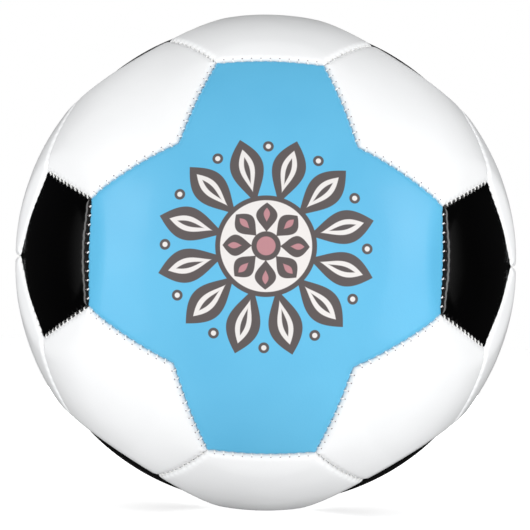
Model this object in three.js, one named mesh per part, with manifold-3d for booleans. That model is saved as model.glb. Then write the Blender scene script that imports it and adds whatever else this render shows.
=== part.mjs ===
// A size 5 football with stitched panels: one large print panel on the front, eighteen white hexagons
// and ten black pentagons, over a hollow rubber bladder with its valve.
// Millimetres, +Z up. The origin is on the floor under the ball's centre. The print panel faces -Y.

import * as THREE from "three";
import { mergeVertices } from "three/addons/utils/BufferGeometryUtils.js";
import Module from "manifold-3d";

const wasm = await Module();
wasm.setup();

// Driving dimensions of the ball.
const SKIN_RADIUS = 108.6; // over the shoulders beside a seam between two hexagons
const CROWN = 0.3; // that a panel's middle stands over its shoulders
const CROWN_REACH = 30; // from a seam to where the crown is full
const WIDTH_STRETCH = 1.009; // along X: the ball is a little wider than it is high
const HEIGHT_STRETCH = 0.998; // along Z
const CENTRE_HEIGHT = 108.1; // of the ball's centre over the floor, which flattens the ball a little
const DIP = 2.5; // that the skin lies lower over a black pentagon, which the air bulges less
const DIP_ON_PRINT = 1.0; // the same where the print panel takes a pentagon's place
const DIP_INNER = THREE.MathUtils.degToRad(15.5); // from a pentagon's centre, where the dip is full
const DIP_OUTER = THREE.MathUtils.degToRad(24); // and where it has gone

// Driving dimensions of a panel's edge, and of what lies under the panels.
const SHOULDER_WIDTH = 3.4; // from a seam to the level part of a panel
const SHOULDER_DROP = 3.0; // of the rounded shoulder into the seam
const HALF_GAP = 0.18; // from a panel's wall to the middle of its seam
const PANEL_THICKNESS = 4.0; // cover, foam and cloth backing together
const BLADDER_THICKNESS = 1.2;
const BLADDER_CLEARANCE = 0.5; // between the backing and the bladder's faceted wall

// Driving dimensions of the valve.
const VALVE_HOLE_RADIUS = 4.0; // in the panel and in the bladder
const VALVE_RADIUS = 3.6;
const VALVE_RECESS = 0.5; // of the valve's face under the panel's skin
const NEEDLE_RADIUS = 1.0; // of the channel for the pump's needle
const FUNNEL_RADIUS = 2.0; // of the channel's mouth
const FUNNEL_DEPTH = 1.5;
const VALVE_CHAMFER = 0.4;
const FLANGE_RADIUS = 8.0;
const FLANGE_THICKNESS = 1.6;
const FLANGE_CLEARANCE = 1.4; // under the bladder's inner wall, which curves down round the flange
const NECK_LENGTH = 9.0; // of the valve's inner end under its flange
const NECK_RADIUS = 3.0;

// How finely the shapes are divided.
const SEGMENTS = 4; // along each side of a hexagon or pentagon
const SHOULDER_STEPS = [1.3, 0.45]; // distances from the seam of the rows that round the shoulder
const BLADDER_DETAIL = 5;
const ROUND_SIDES = 24;

const GOLDEN = (1 + Math.sqrt(5)) / 2;
const CENTRE = new THREE.Vector3(0, 0, CENTRE_HEIGHT);

const leather = (color, roughness) => new THREE.MeshStandardMaterial({ color, roughness, metalness: 0 });
const WHITE = leather(0xf4f5f5, 0.38);
const BLACK = leather(0x0b0b0c, 0.28);
const BLUE = leather(0x6fc4ea, 0.4);
const VALVE_RUBBER = leather(0x1a1a1b, 0.7);
const BLADDER_RUBBER = leather(0x2b2624, 0.85);

// A direction with its three numbers in turn along X, Y and Z, each way along each axis.
function turned(x, y, z) {
  const directions = [];
  for (const [a, b, c] of [[x, y, z], [y, z, x], [z, x, y]])
    for (const sign of [[1, 1, 1], [1, 1, -1], [1, -1, 1], [1, -1, -1]])
      for (const side of [1, -1]) {
        const direction = new THREE.Vector3(a * sign[0], b * sign[1], c * sign[2]);
        direction.normalize().multiplyScalar(side);
        if (!directions.some((other) => other.equals(direction))) directions.push(direction);
      }
  return directions;
}

// The corners of a truncated icosahedron, with an edge between two hexagons at the front, top and sides.
const SOLID_CORNERS = [
  ...turned(0, 3 * GOLDEN, 1),
  ...turned(1, 2 * GOLDEN, 2 + GOLDEN),
  ...turned(GOLDEN, 2 * GOLDEN + 1, 2),
];
const PENTAGON_CENTRES = turned(0, GOLDEN, 1);
const HEXAGON_CENTRES = [...turned(1, 1, 1), ...turned(0, 1 / GOLDEN, GOLDEN)];
const FRONT = new THREE.Vector3(0, -1, 0);
const FRONT_CORNERS = SOLID_CORNERS.filter((corner) => corner.dot(FRONT) > 0.975);

// A face of the solid: its corners in order round its centre, anticlockwise from outside.
function face(centre, sides) {
  const corners = [...SOLID_CORNERS].sort((a, b) => b.dot(centre) - a.dot(centre)).slice(0, sides);
  const across = corners[0].clone().projectOnPlane(centre).normalize();
  const along = centre.clone().cross(across);
  const turn = (corner) => Math.atan2(corner.dot(along), corner.dot(across));
  corners.sort((a, b) => turn(a) - turn(b));
  const middle = corners.reduce((sum, corner) => sum.add(corner), new THREE.Vector3()).divideScalar(sides);
  return { centre, sides, corners, middle };
}

// The outline of a panel: the sides of its faces that no other of its faces shares.
function outlineOf(faces) {
  const sides = faces.flatMap((f) => f.corners.map((a, i) => [a, f.corners[(i + 1) % f.sides]]));
  return sides.filter(([a, b]) => !sides.some(([c, d]) => a.equals(d) && b.equals(c)));
}

function panel(name, faces, material) {
  const middle = faces.reduce((sum, f) => sum.add(f.middle), new THREE.Vector3()).normalize();
  return { name, faces, material, middle, outline: outlineOf(faces) };
}

const touchesFront = (f) => f.corners.some((corner) => FRONT_CORNERS.includes(corner));
const HEXAGONS = HEXAGON_CENTRES.map((centre) => face(centre, 6));
const PENTAGONS = PENTAGON_CENTRES.map((centre) => face(centre, 5));

// From the top down, and round each level.
const fromTheTop = (a, b) =>
  Math.round(100 * (b.centre.z - a.centre.z)) ||
  Math.atan2(a.centre.y, a.centre.x) - Math.atan2(b.centre.y, b.centre.x);
const numbered = (faces, word, material) =>
  faces
    .filter((f) => !touchesFront(f))
    .sort(fromTheTop)
    .map((f, i) => panel(`panel_${word}_${String(i + 1).padStart(2, "0")}`, [f], material));

const PANELS = [
  panel("panel_print", [...HEXAGONS, ...PENTAGONS].filter(touchesFront), BLUE),
  ...numbered(HEXAGONS, "white", WHITE),
  ...numbered(PENTAGONS, "black", BLACK),
];

const smooth = (share) => 0.5 - 0.5 * Math.cos(Math.PI * THREE.MathUtils.clamp(share, 0, 1));

// The skin's radius before crowns and seams: lower over each pentagon.
function baseRadius(direction) {
  return PENTAGONS.reduce((radius, f) => {
    const angle = direction.angleTo(f.centre);
    const dip = touchesFront(f) ? DIP_ON_PRINT : DIP;
    return radius - dip * (1 - smooth((angle - DIP_INNER) / (DIP_OUTER - DIP_INNER)));
  }, SKIN_RADIUS);
}

// The distance along the skin from a direction to the nearest side of an outline.
function seamDistance(direction, outline) {
  const nearest = outline.map(([a, b]) => {
    const pole = a.clone().cross(b).normalize();
    const beside = a.clone().cross(direction).dot(pole) >= 0 && direction.clone().cross(b).dot(pole) >= 0;
    return beside
      ? Math.abs(Math.asin(THREE.MathUtils.clamp(direction.dot(pole), -1, 1)))
      : Math.min(direction.angleTo(a), direction.angleTo(b));
  });
  return SKIN_RADIUS * Math.min(...nearest);
}

// The height of a panel's skin over the base radius, at a distance from its seam.
function profile(distance) {
  const shoulder = 1 - Math.min(distance / SHOULDER_WIDTH, 1);
  const crown = 1 - Math.min(distance / CROWN_REACH, 1);
  return CROWN * (1 - crown ** 2) - SHOULDER_DROP * (1 - Math.sqrt(1 - shoulder ** 2));
}

// A point of the ball at a radius, with the ball's stretch and its place over the floor.
function placed(direction, radius) {
  const stretch = new THREE.Vector3(WIDTH_STRETCH, 1, HEIGHT_STRETCH);
  return direction.clone().multiplyScalar(radius).multiply(stretch).add(CENTRE);
}

// A direction on a panel's outline is drawn in from its seam by the half gap.
function drawnIn(direction, p) {
  const inwards = p.middle.clone().projectOnPlane(direction).normalize();
  return direction.clone().addScaledVector(inwards, HALF_GAP / SKIN_RADIUS).normalize();
}

// The rows of one triangle of a face, from its middle to one side, as directions.
function sectorRows(f, a, b, withShoulder) {
  const inradius = SKIN_RADIUS * f.middle.distanceTo(a.clone().lerp(b, 0.5));
  const steps = withShoulder ? [SHOULDER_WIDTH, ...SHOULDER_STEPS, 0] : [0];
  const row = (scale, count) =>
    Array.from({ length: count + 1 }, (_, j) =>
      f.middle.clone().lerp(a.clone().lerp(b, count ? j / count : 0), scale).normalize(),
    );
  const fan = 1 - steps[0] / inradius;
  return [
    ...Array.from({ length: SEGMENTS + 1 }, (_, i) => row((fan * i) / SEGMENTS, i)),
    ...steps.slice(1).map((step) => row(1 - step / inradius, SEGMENTS)),
  ];
}

// Triangles between each row of points and the next, facing out.
function trianglesBetween(rows) {
  const triangles = [];
  rows.slice(1).forEach((outer, i) => {
    const inner = rows[i];
    const sameCount = inner.length === outer.length;
    for (let j = 0; j < outer.length - 1; j++) {
      triangles.push([inner[j], outer[j], outer[j + 1]]);
      if (sameCount || j < inner.length - 1) triangles.push([inner[j], outer[j + 1], inner[j + 1]]);
    }
  });
  return triangles;
}

function geometryOfTriangles(triangles) {
  const points = triangles.flat().flatMap((point) => point.toArray());
  return new THREE.BufferGeometry().setAttribute("position", new THREE.Float32BufferAttribute(points, 3));
}

// A closed mesh as a solid that can be joined and cut, and back again.
function solidOf(geometry) {
  const plain = geometry.clone();
  plain.deleteAttribute("normal");
  plain.deleteAttribute("uv");
  const merged = mergeVertices(plain, 1e-4);
  const vertProperties = new Float32Array(merged.attributes.position.array);
  return new wasm.Manifold(
    new wasm.Mesh({ numProp: 3, vertProperties, triVerts: new Uint32Array(merged.index.array) }),
  );
}

function geometryOf(solid) {
  const mesh = solid.getMesh();
  return new THREE.BufferGeometry()
    .setAttribute("position", new THREE.BufferAttribute(mesh.vertProperties, 3))
    .setIndex(new THREE.BufferAttribute(mesh.triVerts, 1));
}

// One panel as a closed solid: its skin, the wall round it and its backing.
function panelSolid(p) {
  const onOutline = (direction) => seamDistance(direction, p.outline) < 1e-3;
  const inPlace = (direction) => (onOutline(direction) ? drawnIn(direction, p) : direction);
  const skin = (direction) => {
    const n = inPlace(direction);
    return placed(n, baseRadius(n) + profile(seamDistance(n, p.outline)));
  };
  const backing = (direction) => {
    const n = inPlace(direction);
    return placed(n, baseRadius(n) - PANEL_THICKNESS);
  };
  const triangles = [];
  for (const f of p.faces)
    f.corners.forEach((a, i) => {
      const b = f.corners[(i + 1) % f.sides];
      const outside = sectorRows(f, a, b, true);
      const inside = sectorRows(f, a, b, false);
      triangles.push(...trianglesBetween(outside.map((row) => row.map(skin))));
      for (const [u, v, w] of trianglesBetween(inside.map((row) => row.map(backing)))) triangles.push([u, w, v]);
      if (!p.outline.some(([c, d]) => c === a && d === b)) return;
      const rim = outside[outside.length - 1];
      for (let j = 0; j < SEGMENTS; j++) {
        const [high, highNext] = [skin(rim[j]), skin(rim[j + 1])];
        const [low, lowNext] = [backing(rim[j]), backing(rim[j + 1])];
        triangles.push([high, low, lowNext], [high, lowNext, highNext]);
      }
    });
  return solidOf(geometryOfTriangles(triangles));
}

// The space under the floor, which flattens the skin where the ball stands.
const underFloor = solidOf(
  new THREE.BoxGeometry(SKIN_RADIUS, SKIN_RADIUS, SKIN_RADIUS).translate(0, 0, -SKIN_RADIUS / 2),
);

// The valve is in the middle of the white hexagon at the back, to the right of the rear seam.
const VALVE_AXIS = new THREE.Vector3(1 / GOLDEN, GOLDEN, 0).normalize();
const valvePanel = PANELS.find((p) => p.middle.distanceTo(VALVE_AXIS) < 1e-3);
const valveFace = baseRadius(VALVE_AXIS) + CROWN - VALVE_RECESS;
const bladderOuter = (direction) => baseRadius(direction) - PANEL_THICKNESS - BLADDER_CLEARANCE;
const bladderInner = (direction) => bladderOuter(direction) - BLADDER_THICKNESS;

// Turns a shape made along +Y so that it runs out from the ball's centre along the valve's axis.
function alongValve(geometry) {
  const stretchedAxis = placed(VALVE_AXIS, 1).sub(CENTRE).normalize();
  const turn = new THREE.Quaternion().setFromUnitVectors(new THREE.Vector3(0, 1, 0), stretchedAxis);
  return geometry.applyQuaternion(turn).translate(...CENTRE.toArray());
}

const valveHole = solidOf(
  alongValve(
    new THREE.CylinderGeometry(VALVE_HOLE_RADIUS, VALVE_HOLE_RADIUS, 40, ROUND_SIDES).translate(
      0,
      valveFace,
      0,
    ),
  ),
);

// The bladder: a thin closed balloon with the valve's hole through it.
function bladderSolid() {
  const balloon = (radiusAt) => {
    const geometry = new THREE.IcosahedronGeometry(1, BLADDER_DETAIL);
    const corners = geometry.attributes.position;
    for (let i = 0; i < corners.count; i++) {
      const direction = new THREE.Vector3().fromBufferAttribute(corners, i).normalize();
      corners.setXYZ(i, ...placed(direction, radiusAt(direction)).toArray());
    }
    return solidOf(geometry);
  };
  return balloon(bladderOuter).subtract(balloon(bladderInner)).subtract(valveHole);
}

// The valve: a rubber plug with a funnelled needle channel, and a flange inside the bladder.
function valveGeometry() {
  const flangeTop = bladderInner(VALVE_AXIS) - FLANGE_CLEARANCE;
  const flangeBottom = flangeTop - FLANGE_THICKNESS;
  const innerEnd = flangeBottom - NECK_LENGTH;
  const outline = [
    [NEEDLE_RADIUS, innerEnd],
    [NECK_RADIUS, innerEnd],
    [NECK_RADIUS, flangeBottom],
    [FLANGE_RADIUS, flangeBottom],
    [FLANGE_RADIUS, flangeTop],
    [VALVE_RADIUS, flangeTop],
    [VALVE_RADIUS, valveFace - VALVE_CHAMFER],
    [VALVE_RADIUS - VALVE_CHAMFER, valveFace],
    [FUNNEL_RADIUS, valveFace],
    [NEEDLE_RADIUS, valveFace - FUNNEL_DEPTH],
    [NEEDLE_RADIUS, innerEnd],
  ];
  const points = outline.map(([radius, height]) => new THREE.Vector2(radius, height));
  return alongValve(new THREE.LatheGeometry(points, ROUND_SIDES));
}

const ball = new THREE.Group();

function add(name, geometry, material) {
  const mesh = new THREE.Mesh(geometry, material);
  mesh.name = name;
  ball.add(mesh);
}

for (const p of PANELS) {
  let solid = panelSolid(p);
  if (p === valvePanel) solid = solid.subtract(valveHole);
  if (solid.boundingBox().min[2] < 0) solid = solid.subtract(underFloor);
  add(p.name, geometryOf(solid), p.material);
}
add("bladder", geometryOf(bladderSolid()), BLADDER_RUBBER);
add("valve", valveGeometry(), VALVE_RUBBER);

export default ball;
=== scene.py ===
# %% [markdown]
# A stitched soccer ball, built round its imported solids.
# The ball is a rubber bladder in a cover of leather panels: white hexagons, black pentagons, and in
# front one large sky-blue panel that takes the place of two hexagons and two pentagons.
# Every step below makes one kind of piece. Lengths are metres, and +Z is up.

import math

import bmesh
import bpy
from mathutils import Matrix, Vector


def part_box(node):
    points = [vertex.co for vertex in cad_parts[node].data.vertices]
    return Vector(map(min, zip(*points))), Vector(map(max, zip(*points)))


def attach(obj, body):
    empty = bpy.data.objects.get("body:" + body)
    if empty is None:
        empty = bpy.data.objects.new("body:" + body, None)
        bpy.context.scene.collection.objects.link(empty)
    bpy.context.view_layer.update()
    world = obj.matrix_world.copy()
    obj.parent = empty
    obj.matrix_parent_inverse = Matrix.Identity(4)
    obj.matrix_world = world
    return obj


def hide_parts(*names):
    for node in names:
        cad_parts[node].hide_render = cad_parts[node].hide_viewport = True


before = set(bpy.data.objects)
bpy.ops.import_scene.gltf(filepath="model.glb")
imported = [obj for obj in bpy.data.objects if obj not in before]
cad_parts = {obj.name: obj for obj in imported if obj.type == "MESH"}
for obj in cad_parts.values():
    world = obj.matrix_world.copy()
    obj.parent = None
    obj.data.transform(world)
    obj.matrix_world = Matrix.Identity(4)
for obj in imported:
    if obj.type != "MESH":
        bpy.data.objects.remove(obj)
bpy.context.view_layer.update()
MM = 0.001

# %% [markdown]
# The camera comes first, because every later look is judged through it.
# It stands seven ball radii away, a little below the ball's middle, and its long lens keeps the
# ball's outline nearly as wide as the ball itself. A slight roll tips the panels clockwise.
# A camera object looks along its own -Z, so its turn is built from the line of sight.

# %% Camera
BALL_CENTRE = Vector((0, 0, 108.1 * MM))
CAMERA_DISTANCE = 797 * MM
CAMERA_ELEVATION = math.radians(-1.87)
CAMERA_ROLL = math.radians(1.31)
AIM_OFFSET = Vector((-0.3 * MM, 0, -1.0 * MM))
SENSOR_WIDTH = 36.0
FOCAL_LENGTH = 122.5


def make_camera():
    camera = bpy.data.objects.new("camera", bpy.data.cameras.new("camera"))
    bpy.context.scene.collection.objects.link(camera)
    camera.data.sensor_width = SENSOR_WIDTH
    camera.data.lens = FOCAL_LENGTH
    camera.data.clip_start = 10 * MM
    back = Vector((0, -math.cos(CAMERA_ELEVATION), math.sin(CAMERA_ELEVATION)))
    camera.location = BALL_CENTRE + CAMERA_DISTANCE * back
    aim = BALL_CENTRE + AIM_OFFSET
    turn = (aim - camera.location).to_track_quat("-Z", "Y").to_matrix().to_4x4()
    camera.rotation_euler = (turn @ Matrix.Rotation(CAMERA_ROLL, 4, "Z")).to_euler()
    bpy.context.scene.camera = camera
    return camera


camera = make_camera()
print("camera stands", round(camera.location.z / MM), "mm over the floor")

# %% [markdown]
# Both the geometry trees and the shader trees below are built by code, node by node.
# place adds a node and fills its sockets, each with a plain value or with a link from another
# node's output. calc and vector add a Math and a Vector Math node and give back their result.
# in_range adds a Map Range node, which lays one range of numbers over another.

# %% Helpers for node trees


def place(tree, kind, sockets=None, **settings):
    made = tree.nodes.new(kind)
    for name, value in settings.items():
        setattr(made, name, value)
    for key, value in (sockets or {}).items():
        if isinstance(value, bpy.types.NodeSocket):
            tree.links.new(value, made.inputs[key])
        else:
            made.inputs[key].default_value = value
    return made


def calc(tree, operation, *terms):
    return place(tree, "ShaderNodeMath", dict(enumerate(terms)), operation=operation).outputs[0]


def one_minus(tree, share):
    return calc(tree, "SUBTRACT", 1.0, share)


def vector(tree, operation, *terms):
    made = place(tree, "ShaderNodeVectorMath", dict(enumerate(terms)), operation=operation)
    gives_number = operation in ("LENGTH", "DISTANCE", "DOT_PRODUCT")
    return made.outputs["Value" if gives_number else "Vector"]


def in_range(tree, value, start, end, least=0.0, most=1.0, soft=False):
    """Goes from least to most while the value goes from start to end, with soft ends if asked."""
    made = place(tree, "ShaderNodeMapRange", {0: value, 1: start, 2: end, 3: least, 4: most})
    if soft:
        made.interpolation_type = "SMOOTHSTEP"
    return made.outputs[0]


def new_group(kind, name, takes, gives):
    """An empty group. Each of its sockets is given by name, kind and, for some, a first value."""
    tree = bpy.data.node_groups.new(name, kind)
    for way, sockets in (("INPUT", takes), ("OUTPUT", gives)):
        for socket_name, socket_kind, *value in sockets:
            socket = tree.interface.new_socket(
                socket_name, in_out=way, socket_type="NodeSocket" + socket_kind
            )
            if value:
                socket.default_value = value[0]
    return tree, tree.nodes.new("NodeGroupInput").outputs, tree.nodes.new("NodeGroupOutput").inputs


# %% [markdown]
# A geometry tree works on every point of a mesh at once. These helpers add the nodes for the
# commonest steps: a point's position, a move, a value stored under a name and read again, and the
# mesh of another object. run_tree puts a tree on a piece as a modifier, takes the evaluated mesh as
# the piece's own, and removes the modifier, so that later steps find a plain mesh.

# %% Helpers for geometry trees


def here(tree):
    return place(tree, "GeometryNodeInputPosition").outputs[0]


def moved(tree, mesh, position, selection=True):
    sockets = {0: mesh, "Selection": selection, "Position": position}
    return place(tree, "GeometryNodeSetPosition", sockets).outputs[0]


def store(tree, mesh, name, value, kind="FLOAT", selection=True):
    sockets = {0: mesh, "Selection": selection, "Name": name, "Value": value}
    made = place(tree, "GeometryNodeStoreNamedAttribute", sockets, data_type=kind, domain="POINT")
    return made.outputs[0]


def stored(tree, name, kind="FLOAT"):
    return place(tree, "GeometryNodeInputNamedAttribute", {"Name": name}, data_type=kind).outputs[0]


def geometry_of(tree, piece):
    return place(tree, "GeometryNodeObjectInfo", {"Object": piece}).outputs["Geometry"]


def dress(tree, geometry, material, result):
    """The end of every tree: real geometry, smooth shading and the material."""
    real = place(tree, "GeometryNodeRealizeInstances", {"Geometry": geometry}).outputs[0]
    smooth = place(tree, "GeometryNodeSetShadeSmooth", {"Geometry": real}).outputs[0]
    dressed = place(tree, "GeometryNodeSetMaterial", {"Geometry": smooth, "Material": material})
    tree.links.new(dressed.outputs[0], result["Geometry"])


def run_tree(piece, tree, **values):
    modifier = piece.modifiers.new(tree.name, "NODES")
    modifier.node_group = tree
    for item in tree.interface.items_tree:
        key = item.name.lower().replace(" ", "_")
        if item.in_out == "INPUT" and key in values:
            modifier[item.identifier] = values[key]
    seen = piece.evaluated_get(bpy.context.evaluated_depsgraph_get())
    grown = bpy.data.meshes.new_from_object(seen)
    piece.modifiers.remove(modifier)
    piece.data = grown
    return piece


def new_piece(name, mesh):
    piece = bpy.data.objects.new(name, mesh)
    bpy.context.scene.collection.objects.link(piece)
    return piece


# %% [markdown]
# The panels follow the pattern of the classic ball, a truncated icosahedron: twelve pentagons and
# twenty hexagons with sixty corners. All corners come from three directions by turning their
# numbers through X, Y and Z and changing signs, so no list of points is needed.
# A face's corners are the five or six that lie nearest to its middle.

# %% The pattern of panels
GOLDEN = (1 + math.sqrt(5)) / 2
SAME_POINT = 1e-6


def turned(x, y, z):
    directions = []
    for numbers in ((x, y, z), (y, z, x), (z, x, y)):
        for signs in ((1, 1, 1), (1, 1, -1), (1, -1, 1), (1, -1, -1)):
            for side in (1, -1):
                direction = Vector([side * n * s for n, s in zip(numbers, signs)]).normalized()
                if all((direction - other).length > SAME_POINT for other in directions):
                    directions.append(direction)
    return directions


CORNERS = (
    turned(0, 3 * GOLDEN, 1)
    + turned(1, 2 * GOLDEN, 2 + GOLDEN)
    + turned(GOLDEN, 2 * GOLDEN + 1, 2)
)
PENTAGON_CENTRES = turned(0, GOLDEN, 1)
HEXAGON_CENTRES = turned(1, 1, 1) + turned(0, 1 / GOLDEN, GOLDEN)


def face_corners(centre, sides):
    """The numbers of a face's corners, anticlockwise as seen from outside."""
    nearest = sorted(range(len(CORNERS)), key=lambda i: -CORNERS[i].dot(centre))[:sides]
    across = (CORNERS[nearest[0]] - centre * CORNERS[nearest[0]].dot(centre)).normalized()
    along = centre.cross(across)
    return sorted(nearest, key=lambda i: math.atan2(CORNERS[i].dot(along), CORNERS[i].dot(across)))


FACES = [face_corners(centre, 5) for centre in PENTAGON_CENTRES]
FACES += [face_corners(centre, 6) for centre in HEXAGON_CENTRES]
FRONT = Vector((0, -1, 0))
FRONT_CORNERS = sorted(range(len(CORNERS)), key=lambda i: -CORNERS[i].dot(FRONT))[:2]
PRINT_FACES = [f for f in FACES if set(f) & set(FRONT_CORNERS)]
print(len(CORNERS), "corners,", len(FACES), "faces,", len(PRINT_FACES), "of them in the print panel")


def outline_of(faces):
    """The sides of a panel's faces that no other of its faces shares."""
    sides = [(a, b) for f in faces for a, b in zip(f, f[1:] + f[:1])]
    return [(a, b) for a, b in sides if (b, a) not in sides]


def direction_of(node):
    low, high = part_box(node)
    return ((low + high) / 2 - BALL_CENTRE).normalized()


def middle_of(faces):
    return sum((CORNERS[i] for f in faces for i in f), Vector()).normalized()


# Each CAD node named panel_... is matched with the faces that lie in its direction.
PANELS = {"panel_print": PRINT_FACES}
for node in sorted(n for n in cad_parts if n.startswith("panel_") and n != "panel_print"):
    aim = direction_of(node)
    others = [f for f in FACES if f not in PRINT_FACES]
    PANELS[node] = [max(others, key=lambda f: middle_of([f]).dot(aim))]
print(len(PANELS), "panels,", len({str(f) for f in PANELS.values()}), "of them different")

# %% [markdown]
# Small helper objects carry the pattern into Geometry Nodes. A net has one loose edge for each
# seam between two panels. One net holds them all, and three more share them out: the seams round
# the print panel, those round the black panels, and those between two white ones. The first two
# run anticlockwise round their panels, so that a seam's right side is always outside its panel.
# The last helper has one point for each pentagon's middle, with how far the skin lies lower there.
# Air bulges the small pentagons less than the hexagons, and the wide print panel dips least.

# %% Helper objects of the pattern
DIP = 2.5 * MM
DIP_ON_PRINT = 1.0 * MM


def net_object(name, sides):
    mesh = bpy.data.meshes.new(name)
    points = [CORNERS[i] for side in sides for i in side]
    mesh.from_pydata(points, [(2 * i, 2 * i + 1) for i in range(len(sides))], [])
    return new_piece(name, mesh)


print_sides = outline_of(PRINT_FACES)
all_sides = [side for faces in PANELS.values() for side in outline_of(faces)]
taken = {frozenset(side) for side in print_sides}
black_sides = [
    side
    for node, faces in PANELS.items()
    if "black" in node
    for side in outline_of(faces)
    if frozenset(side) not in taken
]
taken |= {frozenset(side) for side in black_sides}
white_sides = [side for side in all_sides if side[0] < side[1] and frozenset(side) not in taken]
SEAM_NET = net_object("seam_net", print_sides + black_sides + white_sides)
PRINT_NET = net_object("print_net", print_sides)
BLACK_NET = net_object("black_net", black_sides)
WHITE_NET = net_object("white_net", white_sides)

pentagon_mesh = bpy.data.meshes.new("pentagon_middles")
pentagon_mesh.from_pydata(PENTAGON_CENTRES, [], [])
dips = pentagon_mesh.attributes.new("dip", "FLOAT", "POINT")
for point, face in enumerate(FACES[: len(PENTAGON_CENTRES)]):
    dips.data[point].value = DIP_ON_PRINT if face in PRINT_FACES else DIP
PENTAGON_MIDDLES = new_piece("pentagon_middles", pentagon_mesh)
print("seams:", len(print_sides), "round the print,", len(black_sides), "round black panels,")
print("and", len(white_sides), "between white ones")

# %% [markdown]
# Parts of the rule for the ball's skin are needed by more than one tree, so each is a function
# that adds its nodes to a tree. On a unit sphere a point's position is also its direction.
# seam_curves bends the net's straight edges onto that sphere. stitch_points spaces the stitches
# along each seam, a little less than a pitch clear of its ends. base_radius is the skin's level
# over seams, lower over each pentagon by a smooth bell.

# %% Rules shared by the trees
SKIN_RADIUS = 108.57 * MM
WIDTH_STRETCH = 1.009
HEIGHT_STRETCH = 0.998
DIP_INNER = math.radians(15.5)
DIP_OUTER = math.radians(24)
POINTS_PER_SEAM = 25
STITCHES_PER_SEAM = 11
END_MARGIN = 0.072


def seam_curves(tree, net, count, margin):
    """The net's seams as curves of that many points, drawn in from their ends by a share of each."""
    curves = place(tree, "GeometryNodeMeshToCurve", {"Mesh": geometry_of(tree, net)}).outputs[0]
    trimmed = place(tree, "GeometryNodeTrimCurve", {0: curves, 2: margin, 3: 1 - margin}, mode="FACTOR")
    spaced = place(tree, "GeometryNodeResampleCurve", {"Curve": trimmed.outputs[0], "Count": count})
    return moved(tree, spaced.outputs[0], vector(tree, "NORMALIZE", here(tree)))


def stitch_points(tree, net):
    curves = seam_curves(tree, net, STITCHES_PER_SEAM, END_MARGIN)
    return place(tree, "GeometryNodeCurveToPoints", {"Curve": curves}, mode="EVALUATED")


def nearness(tree, target, kind):
    """How far each point, on the unit sphere, lies from the target's nearest edge or point."""
    near = place(tree, "GeometryNodeProximity", {0: target}, target_element=kind)
    return calc(tree, "MULTIPLY", near.outputs["Distance"], SKIN_RADIUS)


def base_radius(tree, pentagons, direction):
    points = geometry_of(tree, pentagons)
    nearest = place(tree, "GeometryNodeSampleNearest", {0: points, 1: direction}).outputs[0]

    def sampled(value, kind):
        sockets = {0: points, 1: value, 2: nearest}
        return place(tree, "GeometryNodeSampleIndex", sockets, data_type=kind).outputs[0]

    middle = sampled(here(tree), "FLOAT_VECTOR")
    dip = sampled(stored(tree, "dip"), "FLOAT")
    cosine = calc(tree, "MINIMUM", vector(tree, "DOT_PRODUCT", middle, direction), 1.0)
    share = in_range(tree, calc(tree, "ARCCOSINE", cosine), DIP_INNER, DIP_OUTER, 0.0, math.pi)
    bell = calc(tree, "MULTIPLY_ADD", calc(tree, "COSINE", share), 0.5, 0.5)
    return calc(tree, "SUBTRACT", SKIN_RADIUS, calc(tree, "MULTIPLY", dip, bell))


def on_ball(tree, direction, radius):
    """The place on the real ball of a direction at a radius, never under the floor."""
    stretched = vector(tree, "MULTIPLY", direction, (WIDTH_STRETCH, 1.0, HEIGHT_STRETCH))
    raised = vector(tree, "ADD", vector(tree, "MULTIPLY", stretched, radius), tuple(BALL_CENTRE))
    return vector(tree, "MAXIMUM", raised, (-1.0, -1.0, 0.0))


# %% [markdown]
# A leather panel is a cover glued on foam, 4 mm thick, cut to shape and sewn to its neighbours
# inside out, so its edges roll down into the seam. Its shape follows a rule, so one Geometry
# Nodes tree makes all of them from flat fans of triangles. Its sizes are the tree's inputs.

# %% Inputs of the panel tree
SHOULDER_WIDTH = 2.6 * MM
SHOULDER_DROP = 1.6 * MM
CROWN = 0.3 * MM
CROWN_REACH = 30.0 * MM
DIMPLE_DEPTH = 0.5 * MM
DIMPLE_REACH = 1.7 * MM
panel_tree, given, result = new_group(
    "GeometryNodeTree",
    "leather panel",
    [
        ("Geometry", "Geometry"),
        ("Seams", "Object"),
        ("Pentagons", "Object"),
        ("Middle", "Vector", (0.0, 0.0, 1.0)),
        ("Divisions", "Int", 5),
        ("Row crowding", "Float", 1.5),
        ("Shoulder width", "Float", SHOULDER_WIDTH),
        ("Shoulder drop", "Float", SHOULDER_DROP),
        ("Crown", "Float", CROWN),
        ("Crown reach", "Float", CROWN_REACH),
        ("Dimple depth", "Float", DIMPLE_DEPTH),
        ("Dimple reach", "Float", DIMPLE_REACH),
        ("Ripple height", "Float", 0.22 * MM),
        ("Ripple scale", "Float", 4.5),
        ("Half gap", "Float", 0.06 * MM),
        ("Thickness", "Float", 4.0 * MM),
        ("Leather", "Material"),
    ],
    [("Geometry", "Geometry")],
)
print("the panel tree takes", len(given) - 1, "inputs")

# %% [markdown]
# First the flat fan becomes fine rows of points on the unit sphere. Subdivision alone would space
# the rows evenly, but the skin bends most beside the seam, so the rows crowd towards it: depth goes
# from 0 at the seam to 1 at the fan's middle, and a power of it moves them outwards.
# Each point's distance to the nearest seam is stored, because the leather's finish reads it too.
# Then the outermost row is drawn in from the seam's middle by half the gap.

# %% Rows of points on the sphere
LEAST_SHARE = 1e-4
ON_EDGE = 0.005 * MM


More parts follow.
